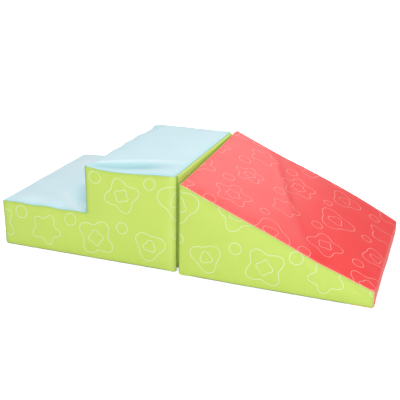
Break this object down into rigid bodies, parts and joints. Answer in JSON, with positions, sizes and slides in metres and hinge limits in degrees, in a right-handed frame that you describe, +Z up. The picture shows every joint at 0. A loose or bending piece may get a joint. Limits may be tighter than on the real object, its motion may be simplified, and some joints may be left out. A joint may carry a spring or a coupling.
{
  "type": "foam climber",
  "caption": "Two-block foam climber: a two-step block and a wedge ramp in padded wipe-clean covers, joined back to back.",
  "frame": {"origin": "on the floor, under the middle of the object's overall length and width", "axes": "+X along the climbing direction from the steps to the ramp, +Y across the width away from the pictured side, +Z up"},
  "size_m": [1.009, 0.484, 0.264],
  "materials": {
    "lime_cover": "matt coated cloth, lime green with a thin white outline print",
    "sky_cover": "matt coated cloth, plain light blue",
    "coral_cover": "satin coated cloth, coral red with a thin white outline print",
    "base_cloth": "dark non-slip cloth with small raised dots",
    "foam": "open-cell polyurethane foam",
    "hook_and_loop": "hook-and-loop tape",
    "zip_tape": "woven zip tape",
    "zip_plastic": "moulded plastic teeth",
    "zip_metal": "dull plated metal"
  },
  "bodies": {
    "steps": {"step_foam_slab": "foam", "step_foam_top": "foam", "step_side_band": "lime_cover", "step_low_tread_panel": "sky_cover", "step_top_tread_panel": "sky_cover", "step_base_panel": "base_cloth", "step_loop_strip_near": "hook_and_loop", "step_loop_strip_far": "hook_and_loop", "step_zip_tape_upper": "zip_tape", "step_zip_tape_lower": "zip_tape", "step_zip_teeth_upper": "zip_plastic", "step_zip_teeth_lower": "zip_plastic", "step_zip_stop_near": "zip_metal", "step_zip_stop_far": "zip_metal"},
    "ramp": {"ramp_foam": "foam", "ramp_side_band": "lime_cover", "ramp_slope_panel": "coral_cover", "ramp_base_panel": "base_cloth", "ramp_hook_strip_near": "hook_and_loop", "ramp_hook_strip_far": "hook_and_loop", "ramp_zip_tape_upper": "zip_tape", "ramp_zip_tape_lower": "zip_tape", "ramp_zip_teeth_upper": "zip_plastic", "ramp_zip_teeth_lower": "zip_plastic", "ramp_zip_stop_near": "zip_metal", "ramp_zip_stop_far": "zip_metal"},
    "step_slider": {"step_zip_slider": "zip_metal"},
    "step_pull": {"step_zip_pull": "zip_metal"},
    "ramp_slider": {"ramp_zip_slider": "zip_metal"},
    "ramp_pull": {"ramp_zip_pull": "zip_metal"}
  },
  "joints": [
    {"name": "ramp_pull_away", "type": "slide", "parent": "steps", "child": "ramp", "axis": [1, 0, 0], "range_m": [0, 0.3]},
    {"name": "step_zip_slide", "type": "slide", "parent": "steps", "child": "step_slider", "axis": [0, 1, 0], "range_m": [0, 0.4]},
    {"name": "step_zip_pull_turn", "type": "hinge", "parent": "step_slider", "child": "step_pull", "pos_m": [0.00266, -0.2002, 0.00589], "axis": [-0.7071, 0, -0.7071], "range_deg": [0, 175]},
    {"name": "ramp_zip_slide", "type": "slide", "parent": "ramp", "child": "ramp_slider", "axis": [0, -1, 0], "range_m": [0, 0.4]},
    {"name": "ramp_zip_pull_turn", "type": "hinge", "parent": "ramp_slider", "child": "ramp_pull", "pos_m": [0.01884, 0.2082, 0.00589], "axis": [0.7071, 0, -0.7071], "range_deg": [0, 175]}
  ]
}
